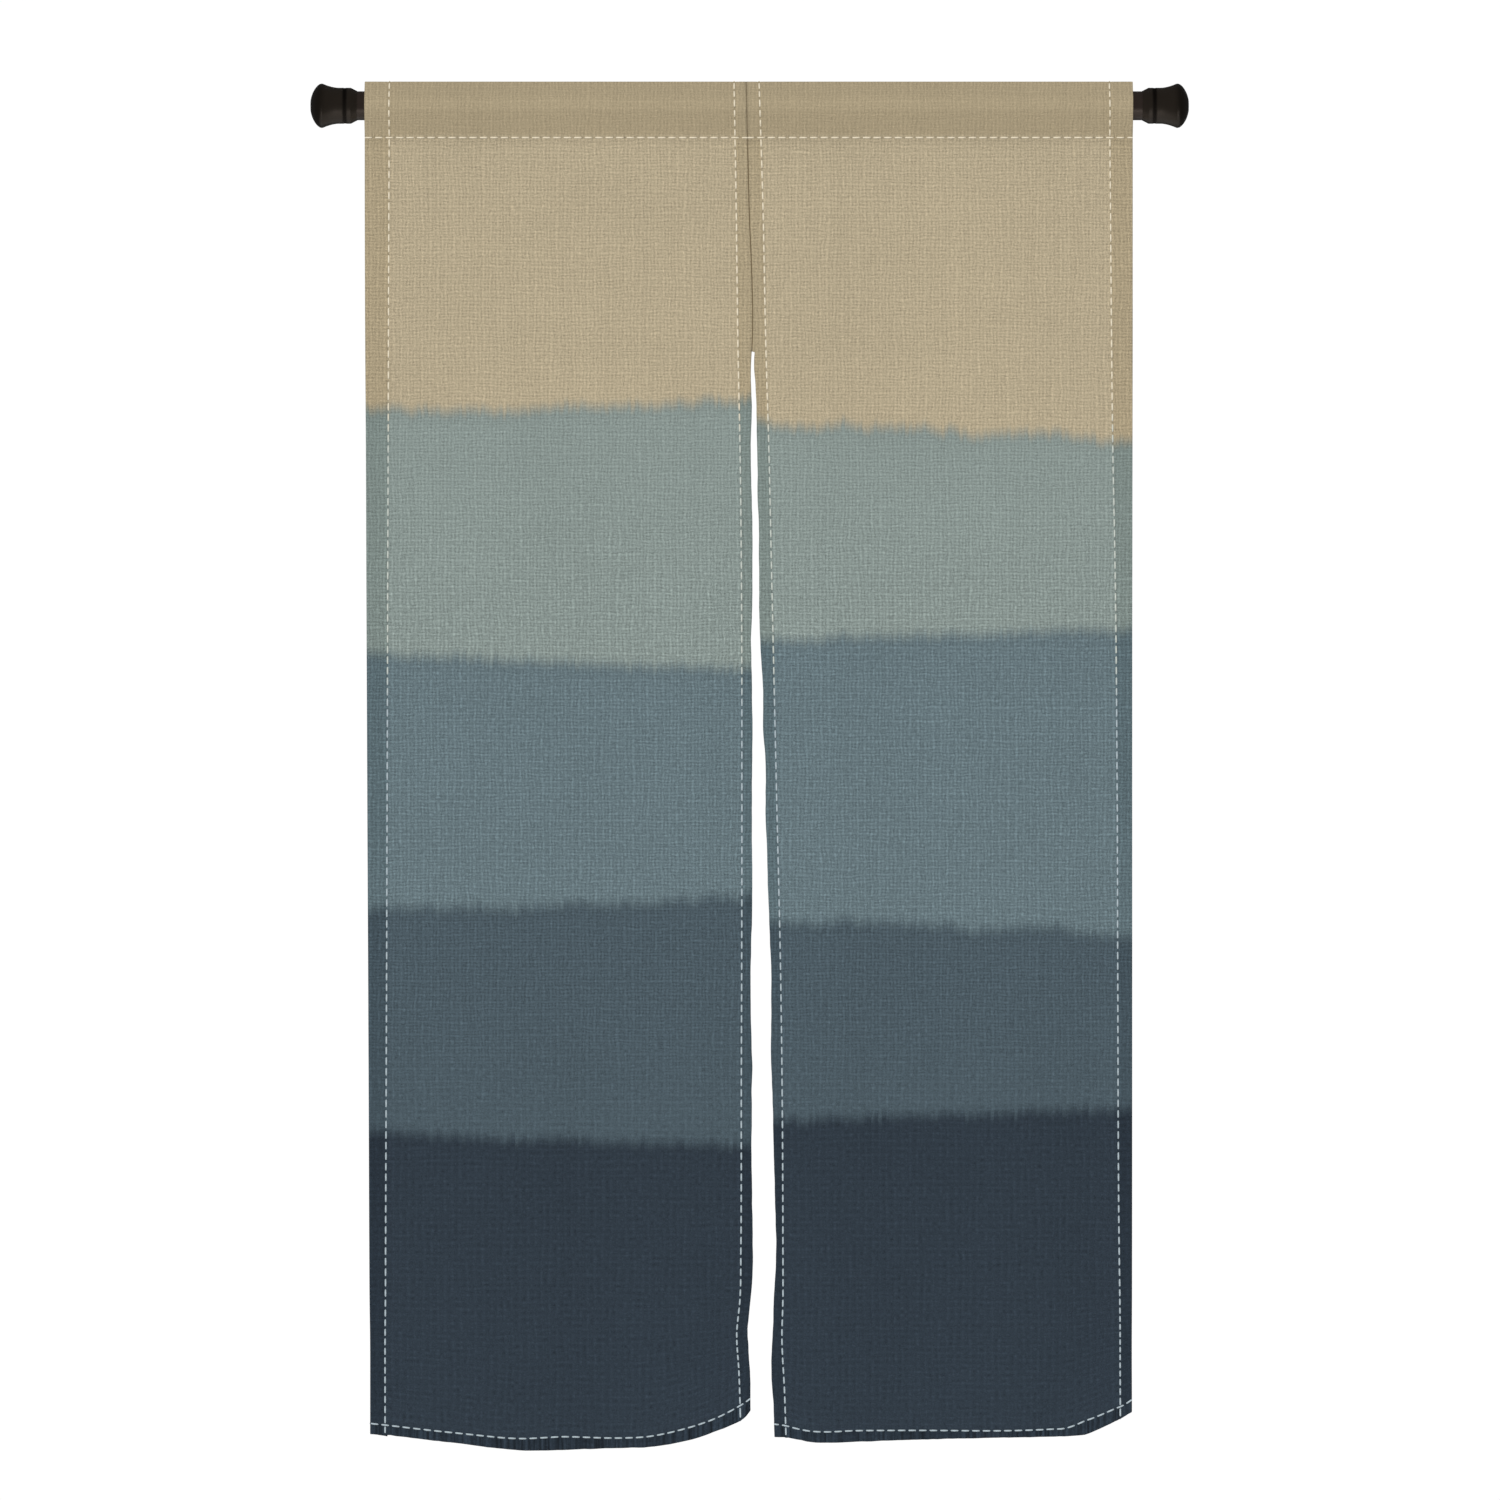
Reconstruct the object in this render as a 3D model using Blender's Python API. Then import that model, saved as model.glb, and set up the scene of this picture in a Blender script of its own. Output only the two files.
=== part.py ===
"""A two-panel noren door curtain hanging on a plain rod with flared end caps.

Metres, +Z up. The curtain is seen from -Y, and X runs along the rod. The origin is the middle of the
left end cap's flat tip, where the rod presses on a doorway's left side.
"""

import math

import bmesh
import bpy
import numpy as np
from mathutils import Vector

MM = 0.001


def table(names, *rows):
    """A table of sizes as its columns, by name."""
    return dict(zip(names.split(), np.transpose(rows)))


# Rod and end caps
ROD_SPAN = 0.972  # from tip to tip, the doorway's clear width
ROD_RADIUS = 0.016
ROD_WALL = 0.001
GAP = 0.0003  # between pieces that touch
CAP_LENGTH = 0.0514
CAP_TIP_RADIUS = 0.006  # the flat at the middle of the domed face
CAP_DOME = 0.0122  # how far the face domes out
CAP_FLARE_RADIUS = 0.0245
CAP_FLARE_END = 0.0310  # the flare has run out into the collar here
CAP_BODY_RADIUS = 0.0199
CAP_BEVEL = 0.0068  # length of the collar's bevel down to the tube
CAP_MOUTH_WALL = 0.0007
CAP_SOCKET = 0.024  # how far the tube goes in
CAP_GROOVE = {"x": 0.0382, "half_width": 0.0016, "depth": 0.0006}
ROUND_STEPS = 32

# Cloth
CLOTH = 0.0012  # one layer
HEM = 0.0024  # a turned hem
STITCH_STEP = 0.001  # a hem ends this far past its stitch line
FOLD_TOP = 0.0268  # the pocket's top fold, above the rod's axis
FOLD_RADIUS = 0.0026  # outside radius of that fold
ROD_CLEARANCE = 0.00045  # between the rod and the cloth around it
POCKET_STITCH = -0.0353  # the line that closes the pocket
FLAP_END = -0.0390  # where the pocket's back layer ends
FRONT = -0.0016  # the panel's front face, where it hangs straight
SLIT_HEAD = -0.272  # the panels are sewn together above this
HEM_LEVEL = -1.485  # the bottom edge, before its rise and fall
HEM_DEPTH = 0.0125
HEM_FLEX = -1.30  # the bottom edge's rise and fall has faded out up here
HANG_ROWS = 27
BODY_COLUMNS = 13

# The panels' outer edges and stitch lines, as distances along the rod, at each height
LEFT_LINES = table(
    "z outer outer_stitch inner_stitch",
    (0.03, 0.0599, 0.0868, 0.4687),
    (-0.10, 0.0599, 0.0863, 0.4710),
    (-0.27, 0.0602, 0.0857, 0.4732),
    (-0.39, 0.0616, 0.0854, 0.4756),
    (-0.50, 0.0623, 0.0850, 0.4768),
    (-0.75, 0.0633, 0.0843, 0.4775),
    (-1.10, 0.0646, 0.0830, 0.4768),
    (-1.26, 0.0653, 0.0824, 0.4764),
    (-1.32, 0.0656, 0.0824, 0.4755),
    (-1.37, 0.0657, 0.0824, 0.4718),
    (-1.43, 0.0658, 0.0824, 0.4742),
    (-1.49, 0.0658, 0.0824, 0.4760),
)
RIGHT_LINES = table(
    "z outer outer_stitch inner_stitch",
    (0.03, 0.9101, 0.8850, 0.4963),
    (-0.10, 0.9101, 0.8855, 0.5005),
    (-0.27, 0.9101, 0.8866, 0.5041),
    (-0.39, 0.9101, 0.8878, 0.5076),
    (-0.50, 0.9098, 0.8890, 0.5100),
    (-0.75, 0.9090, 0.8919, 0.5156),
    (-0.97, 0.9090, 0.8938, 0.5205),
    (-1.26, 0.9090, 0.8956, 0.5229),
    (-1.32, 0.9090, 0.8959, 0.5229),
    (-1.37, 0.9090, 0.8960, 0.5218),
    (-1.43, 0.9090, 0.8961, 0.5245),
    (-1.49, 0.9090, 0.8961, 0.5265),
)

# The left panel's inner edge, which is the seam down to the slit's head, and the slit's width
SEAM = table(
    "z x",
    (0.03, 0.4820),
    (-0.10, 0.4851),
    (-0.27, 0.4886),
    (-0.39, 0.4872),
    (-0.50, 0.4884),
    (-0.62, 0.4870),
    (-0.75, 0.4877),
    (-0.88, 0.4885),
    (-0.97, 0.4870),
    (-1.10, 0.4885),
    (-1.26, 0.4887),
    (-1.32, 0.4868),
    (-1.37, 0.4834),
    (-1.43, 0.4860),
    (-1.49, 0.4872),
)
SLIT = table(
    "z width",
    (SLIT_HEAD, 0.0),
    (-0.33, 0.0062),
    (-0.50, 0.0073),
    (-0.62, 0.0111),
    (-0.75, 0.0150),
    (-0.88, 0.0172),
    (-0.97, 0.0217),
    (-1.10, 0.0217),
    (-1.26, 0.0247),
    (-1.32, 0.0244),
    (-1.37, 0.0268),
    (-1.43, 0.0246),
    (-1.49, 0.0268),
)

# How far the bottom edge lies above the hem's level, along the rod
LEFT_HEM = table(
    "x rise",
    (0.066, 0.0145),
    (0.125, 0.0079),
    (0.206, -0.0010),
    (0.248, -0.0037),
    (0.320, -0.0019),
    (0.381, 0.0004),
    (0.417, 0.0079),
    (0.444, 0.0167),
    (0.468, 0.0256),
    (0.481, 0.0344),
    (0.487, 0.0422),
)
RIGHT_HEM = table(
    "x rise",
    (0.514, 0.0108),
    (0.528, 0.0105),
    (0.542, 0.0079),
    (0.559, 0.0055),
    (0.652, 0.0074),
    (0.763, 0.0106),
    (0.850, 0.0130),
    (0.865, 0.0168),
    (0.883, 0.0256),
    (0.909, 0.0380),
)

# Soft folds of the hanging cloth: their place along the rod at the hem, drift on the way up, half
# width, and how far they stand forward (+) or back (-) at the hem
FOLDS = table(
    "x drift half_width forward",
    (0.095, 0.010, 0.055, -0.0040),
    (0.215, -0.020, 0.075, 0.0060),
    (0.335, 0.015, 0.065, -0.0050),
    (0.440, 0.010, 0.060, 0.0045),
    (0.560, -0.010, 0.060, 0.0050),
    (0.680, 0.020, 0.075, -0.0060),
    (0.790, -0.015, 0.065, 0.0055),
    (0.880, 0.000, 0.050, -0.0045),
)
FOLDS_START = -0.05  # the folds begin here and grow down to the hem
FOLDS_REACH = 0.18  # they have their first full depth this much lower
FOLDS_AT_TOP = 0.12  # that first depth, as a share of the depth at the hem
SLIT_TURN = {"reach": 0.35, "width": 0.050, "back": 0.006}  # the free inner edges turn back
CORNER_TURN = {"width": 0.070, "forward": 0.010}  # the raised lower corners turn forward
LEFT_CORNER = 0.487
RIGHT_CORNER = 0.909


def clear_scene():
    for item in list(bpy.data.objects):
        bpy.data.objects.remove(item)


def finish(name, base_color, roughness, metallic=0.0):
    material = bpy.data.materials.new(name)
    material.use_nodes = True
    surface = material.node_tree.nodes["Principled BSDF"]
    surface.inputs["Base Color"].default_value = (*base_color, 1.0)
    surface.inputs["Roughness"].default_value = roughness
    surface.inputs["Metallic"].default_value = metallic
    return material


def add_object(name, bm, material):
    """A named object of the shape, shaded smooth but for its real edges."""
    mesh = bpy.data.meshes.new(name)
    bm.to_mesh(mesh)
    bm.free()
    mesh.shade_smooth()
    mesh.set_sharp_from_angle(angle=math.radians(35))
    mesh.materials.append(material)
    item = bpy.data.objects.new(name, mesh)
    bpy.context.scene.collection.objects.link(item)
    return item


def turned(name, profile, material):
    """A piece turned about the rod's axis from (distance along the rod, radius) points.

    A profile that starts on the axis ends on it too, and any other is a closed loop.
    """
    bm = bmesh.new()
    corners = [bm.verts.new((x, 0.0, radius)) for x, radius in profile]
    edges = [bm.edges.new(ends) for ends in zip(corners, corners[1:])]
    if profile[0][1] > 0:
        edges.append(bm.edges.new((corners[-1], corners[0])))
    bmesh.ops.spin(
        bm,
        geom=corners + edges,
        cent=(0, 0, 0),
        axis=(1, 0, 0),
        angle=math.tau,
        steps=ROUND_STEPS,
        use_merge=True,
    )
    bmesh.ops.remove_doubles(bm, verts=bm.verts, dist=0.01 * MM)
    bmesh.ops.recalc_face_normals(bm, faces=bm.faces)
    return add_object(name, bm, material)


def cap_profile():
    """The end cap, from its flat tip over the dome, flare, grooved collar and bevel to its socket."""
    first = math.asin(CAP_TIP_RADIUS / CAP_FLARE_RADIUS)
    sink = CAP_DOME * (1 - math.cos(first))
    dome = [
        (CAP_DOME * (1 - math.cos(turn)) - sink, CAP_FLARE_RADIUS * math.sin(turn))
        for turn in np.linspace(first, math.radians(80), 7)
    ]
    rim_end = CAP_DOME + 1.2 * MM
    flare_start = rim_end + 0.6 * MM
    flare_radius = CAP_FLARE_RADIUS - 0.3 * MM
    flare = [
        (
            flare_start + (CAP_FLARE_END - flare_start) * share,
            CAP_BODY_RADIUS + (flare_radius - CAP_BODY_RADIUS) * (1 - share) ** 1.7,
        )
        for share in np.linspace(0, 1, 6)
    ]
    groove = [
        (CAP_GROOVE["x"] - CAP_GROOVE["half_width"], CAP_BODY_RADIUS),
        (CAP_GROOVE["x"], CAP_BODY_RADIUS - CAP_GROOVE["depth"]),
        (CAP_GROOVE["x"] + CAP_GROOVE["half_width"], CAP_BODY_RADIUS),
    ]
    mouth = ROD_RADIUS + GAP
    return [
        (0.0, 0.0),
        *dome,
        (rim_end, CAP_FLARE_RADIUS),
        *flare,
        *groove,
        (CAP_LENGTH - CAP_BEVEL, CAP_BODY_RADIUS),
        (CAP_LENGTH, mouth + CAP_MOUTH_WALL),
        (CAP_LENGTH, mouth),
        (CAP_LENGTH - CAP_SOCKET, mouth),
        (CAP_LENGTH - CAP_SOCKET, 0.0),
    ]


def build_rod(paint, plastic):
    start = CAP_LENGTH - CAP_SOCKET + GAP
    end = ROD_SPAN - start
    bore = ROD_RADIUS - ROD_WALL
    turned("rod", [(start, ROD_RADIUS), (end, ROD_RADIUS), (end, bore), (start, bore)], paint)
    profile = cap_profile()
    turned("end_cap_left", profile, plastic)
    turned("end_cap_right", [(ROD_SPAN - x, radius) for x, radius in profile], plastic)


def read(columns, key, name, at):
    """A smooth curve through one column of a table, held level past its ends."""
    keys, values = columns[key], columns[name]
    if keys[0] > keys[-1]:
        keys, values = keys[::-1], values[::-1]
    at = min(max(at, keys[0]), keys[-1])
    low = min(max(int(np.searchsorted(keys, at)) - 1, 0), len(keys) - 2)
    span = keys[low + 1] - keys[low]
    slopes = np.gradient(values, keys) * span
    t = (at - keys[low]) / span
    return float(
        (2 * t**3 - 3 * t**2 + 1) * values[low]
        + (t**3 - 2 * t**2 + t) * slopes[low]
        + (3 * t**2 - 2 * t**3) * values[low + 1]
        + (t**3 - t**2) * slopes[low + 1]
    )


def ease(share):
    share = min(max(share, 0.0), 1.0)
    return share * share * (3 - 2 * share)


def bell(away):
    return math.exp(-away * away)


def pocket_side(stitch_y):
    """One side of the pocket's outer face, from its stitch line up to the top fold, as (y, z).

    The cloth lies on the rod around its middle, and runs straight to the stitch line and the fold.
    """
    reach = ROD_RADIUS + ROD_CLEARANCE + CLOTH
    side = math.copysign(1.0, stitch_y)
    stitch = Vector((stitch_y, POCKET_STITCH))
    straight = math.acos(reach / stitch.length)
    lowest = straight + math.atan2(abs(stitch_y), -POCKET_STITCH) - math.pi / 2
    highest = math.asin((reach - FOLD_RADIUS) / (FOLD_TOP - FOLD_RADIUS))
    on_rod = [
        Vector((side * reach * math.cos(turn), reach * math.sin(turn)))
        for turn in np.linspace(lowest, highest, 5)
    ]
    centre = FOLD_TOP - FOLD_RADIUS
    fold = [
        Vector((side * FOLD_RADIUS * math.cos(turn), centre + FOLD_RADIUS * math.sin(turn)))
        for turn in np.linspace(highest, math.radians(72), 3)
    ]
    return [stitch, stitch.lerp(on_rod[0], 0.5), *on_rod, *fold]


def cloth_path():
    """The cloth's outer face as (y, z), from the end of the pocket's back layer over the rod to the hem.

    The last value of a row says whether the panel hangs free there.
    """
    back_y = FRONT + 2 * CLOTH + GAP
    back = [Vector((back_y, FLAP_END)), *pocket_side(back_y)]
    front = pocket_side(FRONT)[::-1]
    hem_top = HEM_LEVEL + HEM_DEPTH
    heights = [
        FLAP_END - 1.5 * MM,
        *np.linspace(FLAP_END - 5 * MM, hem_top + STITCH_STEP, HANG_ROWS),
        hem_top - STITCH_STEP,
        HEM_LEVEL,
    ]
    around_rod = [(y, z, False) for y, z in [*back, Vector((0.0, FOLD_TOP)), *front]]
    return around_rod + [(FRONT, z, True) for z in heights]


def forward_of(x, z, inner, corner):
    """How far the hanging cloth stands forward of its straight hang, towards -Y."""
    down = (FOLDS_START - z) / (FOLDS_START - HEM_LEVEL)
    grown = ease((FOLDS_START - z) / FOLDS_REACH) * (FOLDS_AT_TOP + (1 - FOLDS_AT_TOP) * down)
    away = (x - FOLDS["x"] - FOLDS["drift"] * (1 - down)) / FOLDS["half_width"]
    depth = grown * float(np.sum(FOLDS["forward"] * np.exp(-away * away)))
    free = ease((SLIT_HEAD - z) / SLIT_TURN["reach"])
    depth -= free * SLIT_TURN["back"] * bell((x - inner) / SLIT_TURN["width"])
    from_corner = math.hypot(x - corner, z - HEM_LEVEL) / CORNER_TURN["width"]
    return depth + CORNER_TURN["forward"] * bell(from_corner)


def line_up(lines, z):
    """Where the panel's columns of points run at one height, from its outer to its inner edge."""
    outer, outer_stitch, inner_stitch = (
        read(lines, "z", line, z) for line in ("outer", "outer_stitch", "inner_stitch")
    )
    inwards = math.copysign(1.0, inner_stitch - outer)
    inner = read(SEAM, "z", "x", z) - inwards * GAP / 2
    if inwards < 0:
        inner += read(SLIT, "z", "width", z)
    step = inwards * STITCH_STEP
    body = np.linspace(outer_stitch + step, inner_stitch - step, BODY_COLUMNS)
    return [outer, outer_stitch - step, *body, inner_stitch + step, inner]


def panel(name, lines, hem, corner, cloth):
    """A grid of points laid along the cloth's path, given its thickness, and more at the hems."""
    path = cloth_path()
    columns = BODY_COLUMNS + 4
    bm = bmesh.new()
    doubled = bm.verts.layers.deform.new("doubled")
    bmesh.ops.create_grid(bm, x_segments=columns - 1, y_segments=len(path) - 1, size=1)
    grid = iter(sorted(bm.verts, key=lambda vert: (round(vert.co.y, 4), vert.co.x)))
    for y, z, hanging in path:
        flexed = ease((HEM_FLEX - z) / (HEM_FLEX - HEM_LEVEL - HEM_DEPTH - STITCH_STEP))
        across = line_up(lines, z)
        for column, x in enumerate(across):
            forward = forward_of(x, z, across[-1], corner) if hanging else 0.0
            vert = next(grid)
            vert.co = (x, y - forward, z + flexed * read(hem, "x", "rise", x))
            in_hem = z < HEM_LEVEL + HEM_DEPTH or column in (0, 1, columns - 2, columns - 1)
            vert[doubled][0] = float(in_hem and z < FLAP_END - 2 * MM)
    bmesh.ops.recalc_face_normals(bm, faces=bm.faces)
    if min(bm.faces, key=lambda face: face.calc_center_median().z).normal.y > 0:
        bmesh.ops.reverse_faces(bm, faces=bm.faces)
    item = add_object(name, bm, cloth)
    item.vertex_groups.new(name="doubled")
    layers = item.modifiers.new("layers", "SOLIDIFY")
    layers.thickness = HEM
    layers.offset = -1.0
    layers.use_even_offset = True
    layers.vertex_group = "doubled"
    layers.thickness_vertex_group = CLOTH / HEM


def main():
    clear_scene()
    paint = finish("rod paint", (0.021, 0.016, 0.013), 0.35, 0.3)
    plastic = finish("cap plastic", (0.020, 0.016, 0.013), 0.40)
    cloth = finish("linen", (0.30, 0.31, 0.28), 0.95)
    build_rod(paint, plastic)
    panel("panel_left", LEFT_LINES, LEFT_HEM, LEFT_CORNER, cloth)
    panel("panel_right", RIGHT_LINES, RIGHT_HEM, RIGHT_CORNER, cloth)


main()
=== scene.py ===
"""The looks of a two-panel noren door curtain on a rod: its cloth, sewing, tube, end caps and light.

Metres. X runs along the rod to the right, the front faces -Y and Z is up. The origin is the middle of the
left end cap's tip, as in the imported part.
"""

import math

import bmesh
import bpy
import numpy as np
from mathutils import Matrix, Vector, noise


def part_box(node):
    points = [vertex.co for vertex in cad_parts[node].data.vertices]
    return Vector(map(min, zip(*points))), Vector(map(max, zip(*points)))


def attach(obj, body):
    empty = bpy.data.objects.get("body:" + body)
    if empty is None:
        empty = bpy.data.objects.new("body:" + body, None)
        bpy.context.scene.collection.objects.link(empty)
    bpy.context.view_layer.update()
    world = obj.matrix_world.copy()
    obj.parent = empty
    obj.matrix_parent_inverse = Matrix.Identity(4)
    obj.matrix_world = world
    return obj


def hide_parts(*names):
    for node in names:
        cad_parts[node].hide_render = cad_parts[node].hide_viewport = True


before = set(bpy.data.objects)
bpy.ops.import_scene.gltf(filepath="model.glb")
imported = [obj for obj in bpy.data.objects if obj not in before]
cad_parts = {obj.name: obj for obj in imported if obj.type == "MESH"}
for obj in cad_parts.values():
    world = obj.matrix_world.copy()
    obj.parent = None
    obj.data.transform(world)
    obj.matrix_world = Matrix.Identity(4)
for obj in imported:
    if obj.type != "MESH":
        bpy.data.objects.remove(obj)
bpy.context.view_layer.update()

MM = 0.001


def table(names, *rows):
    """A table of sizes as its columns, by name."""
    return dict(zip(names.split(), np.transpose(rows)))


# The view: straight at the middle of the cloth, from far enough to look flat
VIEW_CENTRE = (0.4864, -0.7132)
VIEW_WIDTH = 1.6606  # of the cloth's plane
VIEW_DISTANCE = 12.0
SENSOR_WIDTH = 36.0

# Rod and end caps, from the frame
ROD_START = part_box("rod")[0].x
ROD_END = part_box("rod")[1].x
ROD_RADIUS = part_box("rod")[1].z
ROD_WALL = 0.001
ROD_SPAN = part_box("end_cap_right")[1].x
CAP_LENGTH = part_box("end_cap_left")[1].x
CAP_FLARE_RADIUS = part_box("end_cap_left")[1].z
CAP_TIP_RADIUS = 0.006
CAP_DOME = 0.0122  # its depth
CAP_DOME_POWER = 1.3  # over 1, so more pointed than a plain oval
CAP_FLARE_END = 0.0310
CAP_BODY_RADIUS = 0.0199
CAP_BEVEL = 0.0068  # along the rod
CAP_RIM = 0.0012  # the flare's rounded rim, along the rod
CAP_MOUTH_WALL = 0.0004  # the cap's thickness where its bevel ends
CAP_SOCKET = 0.024
CAP_GROOVE = {"x": 0.0380, "half_width": 0.0020, "depth": 0.0003}
GAP = 0.0003  # left between pieces that fit together
ROUND_STEPS = 96

# Cloth
LAYER = 0.0006  # one layer
LYING = 0.0012  # two layers that lie on each other
SIDE_HEM = 0.0020  # a side hem's three layers
HEM_FOLD = 0.00125  # radius of the bottom hem's fold
HEM_PAST = 0.0025  # a hem's loose end lies this far past its stitch line
FOLD_TOP = 0.0268  # of the pocket's fold above the rod
FOLD_RADIUS = 0.0026
ROD_CLEARANCE = 0.00045
POCKET_LAYER = 0.0012  # from the cloth's face to the rod's clearance
POCKET_STITCH = -0.0353
FLAP_END = -0.0390  # the pocket's loose back edge
FRONT = -0.0016  # where the cloth's face hangs
FLAP_BACK = 0.0011  # the outside of the pocket's back layer
SLIT_HEAD = -0.272
SEAM_OVERLAP = 0.0001  # the sewn edges press on each other by this
HEM_LEVEL = -1.485
HEM_DEPTH = 0.0125
HEM_STITCH = HEM_LEVEL + HEM_DEPTH
HEM_FLEX = -1.30  # below this the cloth is drawn along with its hem's uneven rise
PITCHES_DOWN = 123  # stitches from the pocket's line to the hem's
STITCH_PITCH = 0.0117
STITCH_LINES = ("outer_stitch", "inner_stitch")
BODY_COLUMNS = 67  # of points between the two side hems, about two for each stitch

# The panels' outer edges and stitch lines, as distances along the rod, at each height
LEFT_LINES = table(
    "z outer outer_stitch inner_stitch",
    (0.03, 0.0599, 0.0874, 0.4687),
    (-0.10, 0.0599, 0.0868, 0.4710),
    (-0.27, 0.0604, 0.0862, 0.4732),
    (-0.39, 0.0612, 0.0859, 0.4756),
    (-0.50, 0.0616, 0.0855, 0.4768),
    (-0.75, 0.0626, 0.0848, 0.4775),
    (-1.10, 0.0642, 0.0836, 0.4768),
    (-1.26, 0.0648, 0.0830, 0.4764),
    (-1.32, 0.0651, 0.0828, 0.4755),
    (-1.37, 0.0657, 0.0824, 0.4718),
    (-1.43, 0.0658, 0.0824, 0.4742),
    (-1.49, 0.0658, 0.0824, 0.4760),
)
RIGHT_LINES = table(
    "z outer outer_stitch inner_stitch",
    (0.03, 0.9101, 0.8841, 0.4963),
    (-0.10, 0.9101, 0.8854, 0.5005),
    (-0.27, 0.9101, 0.8868, 0.5041),
    (-0.39, 0.9099, 0.8883, 0.5076),
    (-0.50, 0.9097, 0.8904, 0.5100),
    (-0.75, 0.9096, 0.8929, 0.5156),
    (-0.97, 0.9096, 0.8936, 0.5205),
    (-1.26, 0.9095, 0.8951, 0.5229),
    (-1.32, 0.9094, 0.8959, 0.5229),
    (-1.37, 0.9092, 0.8962, 0.5218),
    (-1.43, 0.9090, 0.8961, 0.5245),
    (-1.49, 0.9090, 0.8961, 0.5265),
)

# The seam, which is the left panel's inner edge further down, and the slit's width
SEAM = table(
    "z x width",
    (0.030, 0.4820, 0.0029),
    (-0.100, 0.4851, 0.0029),
    (-0.270, 0.4886, 0.0029),
    (-0.285, 0.4878, 0.0029),
    (-0.310, 0.4878, 0.0046),
    (-0.340, 0.4886, 0.0050),
    (-0.365, 0.4876, 0.0062),
    (-0.405, 0.4877, 0.0070),
    (-0.435, 0.4885, 0.0063),
    (-0.465, 0.4892, 0.0069),
    (-0.500, 0.4893, 0.0068),
    (-0.540, 0.4893, 0.0071),
    (-0.565, 0.4887, 0.0078),
    (-0.590, 0.4877, 0.0097),
    (-0.615, 0.4881, 0.0108),
    (-0.650, 0.4888, 0.0120),
    (-0.690, 0.4893, 0.0115),
    (-0.720, 0.4890, 0.0141),
    (-0.790, 0.4887, 0.0149),
    (-0.830, 0.4889, 0.0164),
    (-0.870, 0.4892, 0.0170),
    (-0.900, 0.4889, 0.0186),
    (-0.925, 0.4880, 0.0203),
    (-0.945, 0.4875, 0.0218),
    (-1.020, 0.4878, 0.0218),
    (-1.045, 0.4885, 0.0209),
    (-1.070, 0.4892, 0.0209),
    (-1.085, 0.4885, 0.0222),
    (-1.115, 0.4888, 0.0228),
    (-1.150, 0.4882, 0.0241),
    (-1.190, 0.4887, 0.0246),
    (-1.225, 0.4892, 0.0250),
    (-1.250, 0.4896, 0.0255),
    (-1.280, 0.4897, 0.0252),
    (-1.300, 0.4891, 0.0246),
    (-1.325, 0.4872, 0.0252),
    (-1.350, 0.4852, 0.0268),
    (-1.370, 0.4839, 0.0271),
    (-1.395, 0.4847, 0.0253),
    (-1.420, 0.4857, 0.0245),
    (-1.445, 0.4867, 0.0252),
    (-1.490, 0.4874, 0.0262),
)

# How far the bottom hem's stitch line and its edge lie above their levels, along the rod
LEFT_HEM = table(
    "x line edge",
    (0.066, 0.0137, 0.0141),
    (0.086, 0.0115, 0.0131),
    (0.112, 0.0085, 0.0100),
    (0.139, 0.0056, 0.0069),
    (0.165, 0.0031, 0.0044),
    (0.192, 0.0004, 0.0007),
    (0.218, -0.0020, -0.0019),
    (0.239, -0.0026, -0.0035),
    (0.258, -0.0017, -0.0037),
    (0.280, -0.0008, -0.0030),
    (0.305, -0.0016, -0.0024),
    (0.330, -0.0025, -0.0016),
    (0.351, -0.0023, -0.0009),
    (0.371, -0.0011, -0.0003),
    (0.391, 0.0024, 0.0022),
    (0.411, 0.0074, 0.0061),
    (0.431, 0.0135, 0.0115),
    (0.449, 0.0203, 0.0183),
    (0.464, 0.0276, 0.0240),
    (0.475, 0.0338, 0.0293),
    (0.481, 0.0375, 0.0337),
    (0.487, 0.0420, 0.0410),
)
RIGHT_HEM = table(
    "x line edge",
    (0.513, 0.0130, 0.0110),
    (0.524, 0.0116, 0.0108),
    (0.540, 0.0077, 0.0083),
    (0.553, 0.0054, 0.0058),
    (0.567, 0.0047, 0.0049),
    (0.600, 0.0058, 0.0058),
    (0.640, 0.0059, 0.0069),
    (0.686, 0.0058, 0.0083),
    (0.726, 0.0057, 0.0095),
    (0.765, 0.0060, 0.0106),
    (0.792, 0.0067, 0.0112),
    (0.818, 0.0078, 0.0118),
    (0.836, 0.0090, 0.0125),
    (0.845, 0.0118, 0.0128),
    (0.856, 0.0165, 0.0138),
    (0.868, 0.0209, 0.0182),
    (0.878, 0.0251, 0.0227),
    (0.889, 0.0300, 0.0282),
    (0.900, 0.0347, 0.0339),
    (0.909, 0.0407, 0.0395),
)

# Soft folds of the hanging cloth, as in the solids
FOLDS = table(
    "x drift half_width forward",
    (0.095, 0.010, 0.055, -0.0040),
    (0.215, -0.020, 0.075, 0.0060),
    (0.335, 0.015, 0.065, -0.0050),
    (0.440, 0.010, 0.060, 0.0045),
    (0.560, -0.010, 0.060, 0.0050),
    (0.680, 0.020, 0.075, -0.0060),
    (0.790, -0.015, 0.065, 0.0055),
    (0.880, 0.000, 0.050, -0.0045),
)
FOLDS_START = -0.05
FOLDS_REACH = 0.18
FOLDS_AT_TOP = 0.12
SLIT_TURN = {"reach": 0.35, "width": 0.050, "back": 0.006}
CORNER_TURN = {"width": 0.070, "forward": 0.010}
LEFT_CORNER = 0.487
RIGHT_CORNER = 0.909

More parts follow.
